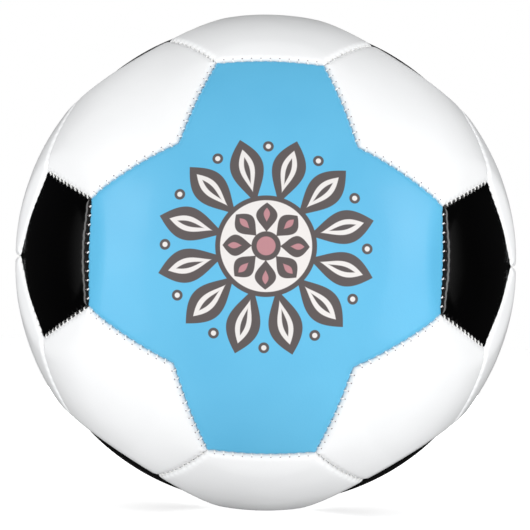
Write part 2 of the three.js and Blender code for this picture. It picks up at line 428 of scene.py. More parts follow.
def crowded_rows(tree):
    depth = stored(tree, "depth")
    middle = stored(tree, "middle", "FLOAT_VECTOR")
    divided = place(tree, "GeometryNodeSubdivideMesh", {0: given["Geometry"], 1: given["Divisions"]})
    kept = one_minus(tree, calc(tree, "POWER", depth, given["Row crowding"]))
    share = calc(tree, "DIVIDE", kept, calc(tree, "MAXIMUM", one_minus(tree, depth), LEAST_SHARE))
    arm = vector(tree, "MULTIPLY", vector(tree, "SUBTRACT", here(tree), middle), share)
    crowded = vector(tree, "NORMALIZE", vector(tree, "ADD", middle, arm))
    return moved(tree, divided.outputs[0], crowded)


def edge_drawn_in(tree, mesh):
    curves = seam_curves(tree, given["Seams"], POINTS_PER_SEAM, 0.0)
    lines = place(tree, "GeometryNodeCurveToMesh", {"Curve": curves}).outputs[0]
    mesh = store(tree, mesh, "seam_distance", nearness(tree, lines, "EDGES"))
    position = here(tree)
    inwards = vector(tree, "NORMALIZE", vector(tree, "SUBTRACT", given["Middle"], position))
    step = calc(tree, "DIVIDE", given["Half gap"], SKIN_RADIUS)
    drawn_in = vector(tree, "NORMALIZE", vector(tree, "MULTIPLY_ADD", inwards, step, position))
    on_edge = calc(tree, "LESS_THAN", stored(tree, "seam_distance"), ON_EDGE)
    return moved(tree, mesh, drawn_in, on_edge)


# %% [markdown]
# The height of each point comes from its distances. From the seam the leather rises in a round
# shoulder, which is a quarter of an ellipse, and then in a slow crown over the whole panel. Each
# stitch pulls a soft dimple into the edges on both sides of it. Slow ripples come last, as a
# cover never lies quite true on its foam. They fade out towards the seam.

# %% Height of the skin


def skin_height(tree):
    distance = stored(tree, "seam_distance")
    position = here(tree)

    crown_share = calc(tree, "MINIMUM", calc(tree, "DIVIDE", distance, given["Crown reach"]), 1.0)
    crown_left = calc(tree, "POWER", one_minus(tree, crown_share), 2.0)
    crown = calc(tree, "MULTIPLY", given["Crown"], one_minus(tree, crown_left))

    reached = calc(tree, "MINIMUM", calc(tree, "DIVIDE", distance, given["Shoulder width"]), 1.0)
    arc = one_minus(tree, calc(tree, "POWER", one_minus(tree, reached), 2.0))
    fallen = one_minus(tree, calc(tree, "SQRT", calc(tree, "MAXIMUM", arc, 0.0)))
    shoulder = calc(tree, "MULTIPLY", given["Shoulder drop"], fallen)

    to_stitch = nearness(tree, stitch_points(tree, given["Seams"]).outputs["Points"], "POINTS")
    spread = calc(tree, "POWER", calc(tree, "DIVIDE", to_stitch, given["Dimple reach"]), 2.0)
    bell = calc(tree, "EXPONENT", calc(tree, "MULTIPLY", spread, -1.0))
    dimple = calc(tree, "MULTIPLY", given["Dimple depth"], bell)

    slow = {"Vector": position, "Scale": given["Ripple scale"], "Detail": 2.0}
    noise = place(tree, "ShaderNodeTexNoise", slow).outputs[0]
    ripple = calc(tree, "MULTIPLY", calc(tree, "SUBTRACT", noise, 0.5), given["Ripple height"])
    ripple = calc(tree, "MULTIPLY", ripple, calc(tree, "MULTIPLY", crown_share, 2.0))

    base = base_radius(tree, given["Pentagons"], position)
    height = calc(tree, "ADD", calc(tree, "ADD", base, crown), ripple)
    return calc(tree, "SUBTRACT", calc(tree, "SUBTRACT", height, shoulder), dimple)


# %% [markdown]
# A closed piece also needs a wall and a back. The open edge is extruded down as the panel's wall,
# and then inwards, ring by ring, to a single point in the middle of the backing. Extruding with no
# offset only makes new points, and the stored height and the next move carry them to their place.
# Every point is then thrown out to its height, and points that fall together are merged.

# %% Wall, backing and the finished panel
BACKING_RINGS = 5
MERGE_DISTANCE = 0.001 * MM


def extruded(tree, mesh, edges):
    sockets = {0: mesh, 1: edges, "Offset Scale": 0.0}
    grown = place(tree, "GeometryNodeExtrudeMesh", sockets, mode="EDGES")
    return grown.outputs[0], grown.outputs["Top"]


def close_back(tree, mesh):
    faces_beside = place(tree, "GeometryNodeInputMeshEdgeNeighbors").outputs[0]
    mesh, top = extruded(tree, mesh, calc(tree, "LESS_THAN", faces_beside, 1.5))
    position = here(tree)
    for ring in range(BACKING_RINGS + 1):
        base = base_radius(tree, given["Pentagons"], position)
        backing = calc(tree, "SUBTRACT", base, given["Thickness"])
        mesh = store(tree, mesh, "height", backing, selection=top)
        if ring == BACKING_RINGS:
            break
        mesh, top = extruded(tree, mesh, top)
        share = 1.0 / (BACKING_RINGS - ring)
        to_middle = vector(tree, "SUBTRACT", given["Middle"], position)
        nearer = vector(tree, "ADD", position, vector(tree, "MULTIPLY", to_middle, (share,) * 3))
        mesh = moved(tree, mesh, vector(tree, "NORMALIZE", nearer), top)
    return mesh


def shape_panel(tree):
    mesh = edge_drawn_in(tree, crowded_rows(tree))
    mesh = close_back(tree, store(tree, mesh, "height", skin_height(tree)))
    placed = moved(tree, mesh, on_ball(tree, here(tree), stored(tree, "height")))
    near = {"Geometry": placed, "Distance": MERGE_DISTANCE}
    merged = place(tree, "GeometryNodeMergeByDistance", near).outputs[0]
    dress(tree, merged, given["Leather"], result)


shape_panel(panel_tree)
print("panel tree:", len(panel_tree.nodes), "nodes")

# %% [markdown]
# Finishes come before the pieces, because each tree sets its material.
# What more than one finish uses is a shader group: the fine grain of coated leather, and the
# faint cloudiness that handling leaves in any gloss. Both read Object coordinates, which are the
# ball's own metres, so nothing slides when the camera moves.

# %% Shader groups
NOISE_LOW = 0.35
NOISE_HIGH = 0.65


def grain_group():
    tree, given, result = new_group(
        "ShaderNodeTree",
        "leather grain",
        [
            ("Grains per metre", "Float", 1100.0),
            ("Creases per metre", "Float", 260.0),
            ("Crease height", "Float", 0.8),
        ],
        [("Height", "Float")],
    )
    ball = place(tree, "ShaderNodeTexCoord").outputs["Object"]
    round_grains = {"Vector": ball, "Scale": given["Grains per metre"]}
    grains = place(tree, "ShaderNodeTexVoronoi", round_grains, feature="SMOOTH_F1").outputs["Distance"]
    winding = {"Vector": ball, "Scale": given["Creases per metre"], "Detail": 4.0, "Distortion": 0.4}
    creases = place(tree, "ShaderNodeTexNoise", winding).outputs[0]
    height = calc(tree, "MULTIPLY_ADD", creases, given["Crease height"], grains)
    tree.links.new(height, result["Height"])
    return tree


def cloud_group():
    tree, given, result = new_group(
        "ShaderNodeTree",
        "handling clouds",
        [("Clouds per metre", "Float", 30.0), ("Least", "Float", 0.3), ("Most", "Float", 0.4)],
        [("Value", "Float")],
    )
    ball = place(tree, "ShaderNodeTexCoord").outputs["Object"]
    cloudy = {"Vector": ball, "Scale": given["Clouds per metre"], "Detail": 3.0}
    noise = place(tree, "ShaderNodeTexNoise", cloudy).outputs[0]
    spread = in_range(tree, noise, NOISE_LOW, NOISE_HIGH, given["Least"], given["Most"])
    tree.links.new(spread, result["Value"])
    return tree


GRAIN = grain_group()
CLOUDS = cloud_group()
print("shader groups:", GRAIN.name, "and", CLOUDS.name)

# %% [markdown]
# Every finish below is a Principled shader whose sockets are fed in the same few ways, so these
# helpers add a group, mix two colours, let a colour drift between two close shades, and turn a
# height into a bump. srgb gives the linear numbers that shaders take for a colour as the eye
# reads it.

# %% Helpers for finishes


def use_group(tree, group, **values):
    sockets = {name.replace("_", " "): value for name, value in values.items()}
    return place(tree, "ShaderNodeGroup", sockets, node_tree=group).outputs[0]


def mix_colour(tree, share, a, b):
    return place(tree, "ShaderNodeMix", {0: share, 6: a, 7: b}, data_type="RGBA").outputs[2]


def drifting_colour(tree, dark, light, clouds_per_metre):
    shade = use_group(tree, CLOUDS, Clouds_per_metre=clouds_per_metre, Least=0.0, Most=1.0)
    return mix_colour(tree, shade, dark, light)


def bumped(tree, height, depth):
    return place(tree, "ShaderNodeBump", {"Height": height, "Distance": depth}).outputs[0]


def new_material(name):
    material = bpy.data.materials.new(name)
    material.use_nodes = True
    shader = next(n for n in material.node_tree.nodes if n.type == "BSDF_PRINCIPLED")
    return material, material.node_tree, shader.inputs


def srgb(red, green, blue):
    """A colour from 0 to 255 as linear numbers. Below 10.31 the curve is a straight line."""
    linear = []
    for c in (red, green, blue):
        linear.append(c / 3294.6 if c <= 10.31 else ((c / 255 + 0.055) / 1.055) ** 2.4)
    return (*linear, 1.0)


# %% [markdown]
# The cover is synthetic leather with a clear top coat: polyurethane on foam. All three colours
# share one recipe, and differ in colour, in gloss and in the coat's weight.
# Near a seam the colour goes a little greyer in the last millimetre: painted shade of the seam's
# valley. The panel tree stored that distance as seam_distance.
# The black leather has hardly any gloss but its coat's, which mirrors the light sharply.

# %% Leather
GRAIN_DEPTH = 0.02 * MM
COAT_ROUGHNESS = 0.08
SEAM_SHADE_STARTS = 1.6 * MM
SEAM_SHADE_FULL = 0.2 * MM
SEAM_SHADE_SHARE = 0.1
COLOUR_CLOUDS = 16.0


def leather_material(name, print_group, colours, seam_shade, roughness, specular, coat):
    material, tree, shader = new_material(name)
    if print_group:
        colour = use_group(tree, print_group)
    else:
        colour = drifting_colour(tree, *colours, COLOUR_CLOUDS)
    distance = place(tree, "ShaderNodeAttribute", attribute_name="seam_distance").outputs["Fac"]
    # Painted shade: near a seam the colour is mixed a little towards a greyer colour, for the seam's
    # valley.
    near = in_range(tree, distance, SEAM_SHADE_STARTS, SEAM_SHADE_FULL, 0.0, SEAM_SHADE_SHARE, soft=True)
    tree.links.new(mix_colour(tree, near, colour, seam_shade), shader["Base Color"])
    least, most = roughness
    tree.links.new(use_group(tree, CLOUDS, Least=least, Most=most), shader["Roughness"])
    tree.links.new(bumped(tree, use_group(tree, GRAIN), GRAIN_DEPTH), shader["Normal"])
    shader["Specular IOR Level"].default_value = specular
    shader["Coat Weight"].default_value = coat
    shader["Coat Roughness"].default_value = COAT_ROUGHNESS
    return material


WHITES = (srgb(244, 245, 246), srgb(248, 249, 250))
BLACKS = (srgb(1, 1, 1), srgb(3, 3, 4))
# The colour after each pair of colours is the painted shade of its seam valleys.
WHITE_LEATHER = leather_material(
    "white leather", None, WHITES, srgb(206, 206, 204), (0.34, 0.44), specular=0.4, coat=0.3
)
BLACK_LEATHER = leather_material(
    "black leather", None, BLACKS, srgb(6, 6, 6), (0.2, 0.28), specular=0.03, coat=0.9
)
print("finishes:", WHITE_LEATHER.name, "and", BLACK_LEATHER.name)

# %% [markdown]
# The print panel carries an ornament in brown and cream with a pink heart: a plain rosette, about
# as wide as a hand. It is drawn flat and printed on from the front, so its group works with the
# ball's X and Z alone. In polar numbers one leaf or dot is enough: folding the angle into one
# slice repeats it all round. Each row of the table is a ring of the ornament. It becomes a mask,
# from 0 to 1, that lays the row's ink over what lies under it.

# %% The printed rosette
ROSETTE_CENTRE = (0.0, 0.0, 111.0 * MM)
INK_EDGE = 0.12 * MM
LEAF_SWELL = 1.25
BLUES = (srgb(92, 180, 221), srgb(100, 187, 226))
BROWN = srgb(93, 86, 86)
CREAM = srgb(228, 224, 222)
PINK = srgb(186, 134, 140)
RINGS = (
    # shape, how many round, turn in degrees, and in mm:
    # a leaf's root, tip and half width, or a dot's distance from the centre and radius
    ("leaf", 12, 15, (16.0, 43.0, 6.6), BROWN),
    ("leaf", 12, 15, (21.0, 39.0, 3.0), CREAM),
    ("leaf", 12, 15, (24.0, 36.0, 1.1), BROWN),
    ("dot", 12, 0, (39.0, 2.1), BROWN),
    ("dot", 12, 0, (39.0, 1.0), CREAM),
    ("dot", 1, 0, (0.0, 19.5), BROWN),
    ("dot", 1, 0, (0.0, 17.6), CREAM),
    ("leaf", 8, 0, (5.0, 16.8, 4.2), BROWN),
    ("leaf", 8, 0, (9.0, 14.8, 1.3), PINK),
    ("dot", 1, 0, (0.0, 5.6), BROWN),
    ("dot", 1, 0, (0.0, 3.6), PINK),
)


def inked(tree, amount):
    """1 where an amount in metres is above zero, with a soft edge as wide as ink's."""
    return in_range(tree, amount, -INK_EDGE, INK_EDGE)


def distance_of(tree, a, b):
    return calc(tree, "SQRT", calc(tree, "MULTIPLY_ADD", a, a, calc(tree, "POWER", b, 2.0)))


def folded(tree, radius, angle, count, turn):
    """How far along and across the middle line of the nearest of so many slices a point lies."""
    slice_angle = 2 * math.pi / count
    turned_back = calc(tree, "SUBTRACT", angle, math.radians(turn))
    offset = calc(tree, "WRAP", turned_back, slice_angle / 2, -slice_angle / 2)
    along = calc(tree, "MULTIPLY", radius, calc(tree, "COSINE", offset))
    across = calc(tree, "ABSOLUTE", calc(tree, "MULTIPLY", radius, calc(tree, "SINE", offset)))
    return along, across


def leaf(tree, along, across, root, tip, half_width):
    """A pointed leaf from its root to its tip, widest past its middle."""
    share = calc(tree, "POWER", in_range(tree, along, root, tip), LEAF_SWELL)
    swell = calc(tree, "SINE", calc(tree, "MULTIPLY", share, math.pi))
    side = calc(tree, "MULTIPLY_ADD", swell, half_width, -INK_EDGE)
    return inked(tree, calc(tree, "SUBTRACT", side, across))


def dot(tree, along, across, place_along, dot_radius):
    away = distance_of(tree, calc(tree, "SUBTRACT", along, place_along), across)
    return inked(tree, calc(tree, "SUBTRACT", dot_radius, away))


def rosette_group():
    tree, given, result = new_group("ShaderNodeTree", "printed rosette", [], [("Color", "Color")])
    ball = place(tree, "ShaderNodeTexCoord").outputs["Object"]
    centred = vector(tree, "SUBTRACT", ball, ROSETTE_CENTRE)
    parts = place(tree, "ShaderNodeSeparateXYZ", {0: centred}).outputs
    radius = distance_of(tree, parts["X"], parts["Z"])
    angle = calc(tree, "ARCTAN2", parts["Z"], parts["X"])
    colour = drifting_colour(tree, *BLUES, COLOUR_CLOUDS)
    for shape, count, turn, sizes, ink in RINGS:
        along, across = folded(tree, radius, angle, count, turn)
        draw = leaf if shape == "leaf" else dot
        mask = draw(tree, along, across, *(size * MM for size in sizes))
        colour = mix_colour(tree, mask, colour, ink)
    tree.links.new(colour, result["Color"])
    return tree


# Its fourth colour is the painted shade of the seam valleys.
PRINTED_LEATHER = leather_material(
    "printed leather", rosette_group(), None, srgb(120, 170, 190), (0.33, 0.43), specular=0.25, coat=0.06
)
print("the rosette has", len(RINGS), "rings")

# %% [markdown]
# Each panel starts as flat fans of triangles, one for each side of each of its faces, with the
# depth and the fan's middle written on the mesh for the tree. Faces that share a side inside the
# print panel share its points, so the grown skin has no seam there.

# %% Panels
FANS_PER_SIDE = 3


def fan_mesh(name, faces):
    mesh = bpy.data.meshes.new(name)
    build = bmesh.new()
    depth = build.verts.layers.float.new("depth")
    middle_layer = build.faces.layers.float_vector.new("middle")
    known = {}

    def corner(a, b, step):
        """The point that many steps along a side, the same for the faces on both sides of it."""
        key = (min(a, b), max(a, b), step if a < b else FANS_PER_SIDE - step)
        if step in (0, FANS_PER_SIDE):
            key = a if step == 0 else b
        if key not in known:
            known[key] = build.verts.new(CORNERS[a].lerp(CORNERS[b], step / FANS_PER_SIDE))
        return known[key]

    for face in faces:
        middle = sum((CORNERS[i] for i in face), Vector()) / len(face)
        hub = build.verts.new(middle)
        hub[depth] = 1.0
        for a, b in zip(face, face[1:] + face[:1]):
            for step in range(FANS_PER_SIDE):
                made = build.faces.new((hub, corner(a, b, step), corner(a, b, step + 1)))
                made[middle_layer] = middle
    build.to_mesh(mesh)
    build.free()
    return mesh


def make_panel(node, faces):
    finish, slot = {
        "print": (PRINTED_LEATHER, "blue_leather"),
        "white": (WHITE_LEATHER, "white_leather"),
        "black": (BLACK_LEATHER, "black_leather"),
    }[node.split("_")[1]]
    piece = new_piece(node + "_leather", fan_mesh(node + "_leather", faces))
    run_tree(
        piece,
        panel_tree,
        seams=SEAM_NET,
        pentagons=PENTAGON_MIDDLES,
        middle=middle_of(faces),
        leather=finish,
    )
    return piece


def measured(pieces):
    """Faces, open edges and the least volume of some pieces. Closed ones have no open edges."""
    faces, gaps, volumes = 0, 0, []
    for piece in pieces:
        build = bmesh.new()
        build.from_mesh(piece.data)
        faces += len(build.faces)
        gaps += sum(not edge.is_manifold for edge in build.edges)
        volumes.append(build.calc_volume(signed=True) * 1e6)
        build.free()
    return f"{faces} faces, {gaps} open edges, volumes from {min(volumes):.3f} cm3"


panel_pieces = {node: make_panel(node, faces) for node, faces in PANELS.items()}
print(len(panel_pieces), "panels:", measured(panel_pieces.values()))

# %% [markdown]
# White waxed thread holds the panels together. Each stitch is a short bar that crosses the seam at
# a slant and dives into the leather at both ends, and the seams are full of them. Beside each, a
# small dark disc paints the shade inside the needle's hole. So one kind of tree lays any small shape
# on every stitch point of a net of seams. Axes to Rotation turns it upright on the skin and across
# the seam, and a random turn and size, from a fixed seed, keep the row from looking made by a machine.

# %% The kind of tree that sews
SMALLEST = 0.88
LARGEST = 1.1
SEWING_INPUTS = [
    ("Geometry", "Geometry"),
    ("Seams", "Object"),
    ("Pentagons", "Object"),
    ("Outward shift", "Float", 0.0),
    ("Lift", "Float", 0.0),
    ("Slant", "Float", 0.0),
    ("Slant variation", "Float", 0.0),
    ("Seed", "Int", 1),
    ("Finish", "Material"),
]


def stitch_turn(tree, given, direction, outward):
    """The turn of a stitch: up along its direction, across the seam, and then slanted."""
    axes = {"Primary Axis": direction, "Secondary Axis": outward}
    turn = place(tree, "FunctionNodeAxesToRotation", axes, primary_axis="Z", secondary_axis="X")
    least = calc(tree, "SUBTRACT", given["Slant"], given["Slant variation"])
    most = calc(tree, "ADD", given["Slant"], given["Slant variation"])
    drawn = {2: least, 3: most, "Seed": given["Seed"]}
    slant = place(tree, "FunctionNodeRandomValue", drawn, data_type="FLOAT").outputs[1]
    upright = {"Axis": (0.0, 0.0, 1.0), "Angle": slant}
    slanted = place(tree, "FunctionNodeAxisAngleToRotation", upright).outputs[0]
    both = {0: turn.outputs[0], 1: slanted}
    return place(tree, "FunctionNodeRotateRotation", both, rotation_space="LOCAL").outputs[0]


def laid_on_stitches(name, own_inputs, make_shape):
    tree, given, result = new_group(
        "GeometryNodeTree", name, SEWING_INPUTS + own_inputs, [("Geometry", "Geometry")]
    )
    points = stitch_points(tree, given["Seams"])
    direction = here(tree)
    outward = vector(tree, "CROSS_PRODUCT", points.outputs["Tangent"], direction)
    turn = stitch_turn(tree, given, direction, outward)
    sizes = {0: (SMALLEST,) * 3, 1: (LARGEST,) * 3, "Seed": given["Seed"]}
    size = place(tree, "FunctionNodeRandomValue", sizes, data_type="FLOAT_VECTOR").outputs[0]

    # Both are stored before the points move, as they are reckoned on the unit sphere.
    sewn = store(tree, points.outputs["Points"], "turn", turn, "QUATERNION")
    sewn = store(tree, sewn, "outward", outward, "FLOAT_VECTOR")
    step = calc(tree, "DIVIDE", given["Outward shift"], SKIN_RADIUS)
    outward = stored(tree, "outward", "FLOAT_VECTOR")
    shifted = vector(tree, "NORMALIZE", vector(tree, "MULTIPLY_ADD", outward, step, direction))
    radius = calc(tree, "ADD", base_radius(tree, given["Pentagons"], shifted), given["Lift"])
    sewn = moved(tree, sewn, on_ball(tree, shifted, radius))
    shape = make_shape(tree, given)
    upright = stored(tree, "turn", "QUATERNION")
    shapes = {"Points": sewn, "Instance": shape, "Rotation": upright, "Scale": size}
    laid = place(tree, "GeometryNodeInstanceOnPoints", shapes).outputs[0]
    dress(tree, laid, given["Finish"], result)
    return tree


# %% [markdown]
# The two shapes to lay are small. A stitch is a round thread along a bow, made by sweeping a
# circle along a curve. The painted shade of a needle hole is a flat dark lens. With over nine
# hundred stitches, each has only a few dozen faces.

# %% The thread tree and the needle hole tree
BOW_STEPS = 7
THREAD_SIDES = 7
LENS_HEIGHT = 0.35


def thread_arch(tree, given):
    ends = []
    for side in (calc(tree, "MULTIPLY", given["Half span"], -1.0), given["Half span"]):
        low = {"X": side, "Z": calc(tree, "MULTIPLY", given["Dive"], -1.0)}
        ends.append(place(tree, "ShaderNodeCombineXYZ", low).outputs[0])
    top = place(tree, "ShaderNodeCombineXYZ", {"Z": given["Dive"]}).outputs[0]
    path = {"Resolution": BOW_STEPS, "Start": ends[0], "Middle": top, "End": ends[1]}
    bow = place(tree, "GeometryNodeCurveQuadraticBezier", path).outputs[0]
    circle = {"Resolution": THREAD_SIDES, "Radius": given["Thickness"]}
    ring = place(tree, "GeometryNodeCurvePrimitiveCircle", circle).outputs[0]
    sweep = {"Curve": bow, "Profile Curve": ring, "Fill Caps": True}
    return place(tree, "GeometryNodeCurveToMesh", sweep).outputs[0]


def punched_dot(tree, given):
    round_dot = {"Segments": 8, "Rings": 4, "Radius": given["Dot radius"]}
    ball = place(tree, "GeometryNodeMeshUVSphere", round_dot).outputs[0]
    flat = {"Geometry": ball, "Scale": (1.0, 1.0, LENS_HEIGHT)}
    return place(tree, "GeometryNodeTransform", flat).outputs[0]


thread_tree = laid_on_stitches(
    "seam thread",
    [("Half span", "Float", 1.0 * MM), ("Dive", "Float", 0.7 * MM), ("Thickness", "Float", 0.38 * MM)],
    thread_arch,
)
hole_tree = laid_on_stitches("needle holes", [("Dot radius", "Float", 0.3 * MM)], punched_dot)
print("thread tree:", len(thread_tree.nodes), "nodes, needle hole tree:", len(hole_tree.nodes), "nodes")

# %% [markdown]
# Thread is matt and bright, with a fine twist, and the needle holes are dark lenses of painted shade.
# A stitch has to lie on the leather, so profile works out how high the skin stands beside a seam,
# with the same rule as the panel tree. Round the print panel the bars are short and fine and sit a
# little outwards, as that panel is sewn in over its neighbours. Between two white panels they sink
# into the seam.

# %% Thread and needle holes
TWISTS_PER_METRE = 5000.0
TWIST_DEPTH = 0.03 * MM
STITCH_SLANT = math.radians(24)
SLANT_VARIATION = math.radians(8)
THREAD_FOOT = 0.8 * MM
THREAD_LIFT = 0.1 * MM
HOLE_DISTANCE = 1.2 * MM
SEWN_SEAMS = (
    # name, seams, outward shift, sunk, half span, thickness, seed
    ("thread_round_print", PRINT_NET, 0.1 * MM, 0.1 * MM, 0.85 * MM, 0.32 * MM, 3),
    ("thread_round_black", BLACK_NET, 0.3 * MM, 0.0, 1.0 * MM, 0.38 * MM, 5),
    ("thread_between_white", WHITE_NET, 0.0, 0.25 * MM, 1.0 * MM, 0.38 * MM, 9),
)


def profile(distance):
    """How far the skin lies over its level, that far from a seam, at a stitch."""
    crown_left = 1 - min(distance / CROWN_REACH, 1)
    arc = 1 - min(distance / SHOULDER_WIDTH, 1)
    dimple = DIMPLE_DEPTH * math.exp(-((distance / DIMPLE_REACH) ** 2))
    return CROWN * (1 - crown_left**2) - SHOULDER_DROP * (1 - math.sqrt(1 - arc**2)) - dimple


def thread_material():
    material, tree, shader = new_material("waxed thread")
    ball = place(tree, "ShaderNodeTexCoord").outputs["Object"]
    colour = drifting_colour(tree, srgb(236, 236, 234), srgb(252, 252, 250), 400.0)
    tree.links.new(colour, shader["Base Color"])
    tree.links.new(use_group(tree, CLOUDS, Least=0.55, Most=0.7), shader["Roughness"])
    twisted = {"Vector": ball, "Scale": TWISTS_PER_METRE, "Detail": 1.0}
    twist = place(tree, "ShaderNodeTexNoise", twisted).outputs[0]
    tree.links.new(bumped(tree, twist, TWIST_DEPTH), shader["Normal"])
    return material


def hole_shade_material():
    material, tree, shader = new_material("painted hole shade")
    # Painted shade: this dark colour stands for the shade inside a needle hole.
    colour = drifting_colour(tree, srgb(96, 78, 80), srgb(132, 110, 112), 300.0)
    tree.links.new(colour, shader["Base Color"])
    shader["Roughness"].default_value = 0.9
    return material


def sew(name, tree, slot, **values):
    piece = new_piece(name, bpy.data.meshes.new(name))
    run_tree(piece, tree, pentagons=PENTAGON_MIDDLES, **values)
    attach(piece, "root")
    print(name + ":", measured([piece]))


THREAD_FINISH = thread_material()
for name, seams, shift, sunk, half_span, thickness, seed in SEWN_SEAMS:
    sew(
        name,
        thread_tree,
        "white_leather",
        seams=seams,
        outward_shift=shift,
        lift=profile(THREAD_FOOT) + THREAD_LIFT - sunk,
        slant=STITCH_SLANT,
        slant_variation=SLANT_VARIATION,
        half_span=half_span,
        thickness=thickness,
        seed=seed,
        finish=THREAD_FINISH,
    )
sew(
    "needle_holes",
    hole_tree,
    "black_leather",
    seams=PRINT_NET,
    outward_shift=HOLE_DISTANCE,
    lift=profile(HOLE_DISTANCE),
    seed=7,
    finish=hole_shade_material(),
)

# %% [markdown]
# The valve sits in the middle of a white hexagon at the back. It is a rubber plug with a funnel for
# the pump's needle, and a flange that holds it inside the bladder. Round pieces like this are
# turned on a lathe: an outline of radius and height goes round the axis. The same helper makes
# the cutter for the panel's hole, whose mouth flares so that the leather rounds over into it.

# %% Lathe for round pieces
SIDES = 72
SAME_PLACE = 1e-7
SHARP_EDGE = math.radians(32)


def lathe(name, outline, axis):
    """Turns a closed outline of (radius, height) in mm round an axis through the ball's centre."""
    build = bmesh.new()
    rings = []
    for step in range(SIDES):
        angle = 2 * math.pi * step / SIDES
        x, y = MM * math.cos(angle), MM * math.sin(angle)
        rings.append([build.verts.new((r * x, r * y, h * MM)) for r, h in outline])
    for ring, beyond in zip(rings, rings[1:] + rings[:1]):
        for i in range(len(outline)):
            j = (i + 1) % len(outline)
            build.faces.new((ring[i], beyond[i], beyond[j], ring[j]))
    bmesh.ops.remove_doubles(build, verts=build.verts, dist=SAME_PLACE)
    bmesh.ops.dissolve_degenerate(build, edges=build.edges, dist=SAME_PLACE)
    bmesh.ops.recalc_face_normals(build, faces=build.faces)
    mesh = bpy.data.meshes.new(name)
    build.to_mesh(mesh)
    build.free()
    mesh.transform(Matrix.Translation(BALL_CENTRE) @ axis.to_track_quat("Z", "Y").to_matrix().to_4x4())
    mesh.shade_smooth()
    mesh.set_sharp_from_angle(angle=SHARP_EDGE)
    return new_piece(name, mesh)


def rounded(radius, height, reach, steps=5):
    """Points of a quarter circle from the outer wall of a plug to its face."""
    quarter = [math.pi / 2 * step / steps for step in range(steps + 1)]
    return [(radius - reach + reach * math.cos(a), height - reach + reach * math.sin(a)) for a in quarter]


# %% [markdown]
# The sizes are millimetres from the ball's centre, along the valve's axis, or from that axis.
# The axis leans as the stretched skin does there. From the outside in come the funnel's mouth, the
# plug's face, the flange in the bladder and the neck, whose end is open for the needle.

# %% Valve plug
VALVE_FACE = 108.4
PLUG_RADIUS = 3.6
CHANNEL_RADIUS = 1.0
FUNNEL_RADIUS = 2.0
FLANGE_TOP = 101.5
FLANGE_BOTTOM = FLANGE_TOP - 1.6
FLANGE_RADIUS = 8.0
NECK_END = FLANGE_BOTTOM - 9.0
NECK_RADIUS = 3.0
BEVEL = 0.3
valve_outline = [
    (CHANNEL_RADIUS, NECK_END),
    (NECK_RADIUS - BEVEL, NECK_END),
    (NECK_RADIUS, NECK_END + BEVEL),
    (NECK_RADIUS, FLANGE_BOTTOM),
    (FLANGE_RADIUS - BEVEL, FLANGE_BOTTOM),
    (FLANGE_RADIUS, FLANGE_BOTTOM + BEVEL),
    (FLANGE_RADIUS, FLANGE_TOP - BEVEL),
    (FLANGE_RADIUS - BEVEL, FLANGE_TOP),
    (PLUG_RADIUS, FLANGE_TOP),
    *rounded(PLUG_RADIUS, VALVE_FACE, 0.5),
    (FUNNEL_RADIUS + 0.25, VALVE_FACE),
    (FUNNEL_RADIUS, VALVE_FACE - 0.12),
    (CHANNEL_RADIUS + 0.15, VALVE_FACE - 1.3),
    (CHANNEL_RADIUS, VALVE_FACE - 1.7),
]
pattern_axis = Vector((1 / GOLDEN, GOLDEN, 0)).normalized()
valve_axis = Vector((pattern_axis.x * WIDTH_STRETCH, pattern_axis.y, 0)).normalized()
valve = lathe("valve_plug", valve_outline, valve_axis)
print("valve:", measured([valve]))

# %% [markdown]
# A Boolean takes the cutter out of the grown panel. Its exact solver keeps the panel closed.
# Only now are the panels handed to the frame, because that needs each one's final mesh.

# %% Hole for the valve, and the panels in place
VALVE_PANEL = "panel_white_09"
HOLE_RADIUS = 4.0
MOUTH = 108.95
CUTTER_ENDS = (90.0, 120.0)
FLARE = ((0.0, -1.4), (0.07, -0.9), (0.25, -0.5), (0.6, -0.2), (1.2, 0.0), (2.5, 0.35))
flared = [(HOLE_RADIUS + wider, MOUTH + higher) for wider, higher in FLARE]
below, above = CUTTER_ENDS
cutter = lathe(
    "valve_hole_cutter",
    [(0.0, below), (HOLE_RADIUS, below), *flared, (flared[-1][0], above), (0.0, above)],
    valve_axis,
)
panel = panel_pieces[VALVE_PANEL]
cut = panel.modifiers.new("valve hole", "BOOLEAN")
cut.object = cutter
cut.operation = "DIFFERENCE"
cut.solver = "EXACT"
grown = bpy.data.meshes.new_from_object(panel.evaluated_get(bpy.context.evaluated_depsgraph_get()))
panel.modifiers.clear()
panel.data = grown
bpy.data.objects.remove(cutter)
for node, piece in panel_pieces.items():
    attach(piece, "root")
    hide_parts(node)
print("panel with the hole:", measured([panel]))

# %% [markdown]
# Two kinds of rubber: the valve's is smooth, and the bladder's, unseen in the ball, is dull.

# %% Rubber
ROUGHNESS_SPREAD = 0.12


def rubber_material(name, dark, light, roughness, bump_height):
    material, tree, shader = new_material(name)
    tree.links.new(drifting_colour(tree, dark, light, 60.0), shader["Base Color"])
    duller = roughness + ROUGHNESS_SPREAD
    tree.links.new(use_group(tree, CLOUDS, Least=roughness, Most=duller), shader["Roughness"])
    height = use_group(tree, GRAIN, Grains_per_metre=2500.0, Creases_per_metre=900.0)
    tree.links.new(bumped(tree, height, bump_height), shader["Normal"])
    return material


VALVE_RUBBER = rubber_material("valve rubber", srgb(22, 22, 23), srgb(34, 34, 35), 0.45, 0.008 * MM)
BLADDER_RUBBER = rubber_material("bladder rubber", srgb(40, 34, 32), srgb(56, 49, 45), 0.7, 0.03 * MM)
valve.data.materials.append(VALVE_RUBBER)
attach(valve, "root")
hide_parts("valve")
bladder_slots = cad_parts["bladder"].data.materials
bladder_slots.clear()
bladder_slots.append(BLADDER_RUBBER)
print("rubber on the valve and on the bladder")

# %% [markdown]
# The ball stands on a wide pale floor in a plain studio. The floor glows faintly, which keeps it as
# pale as the background, and neither lights the ball nor shows in its gloss.

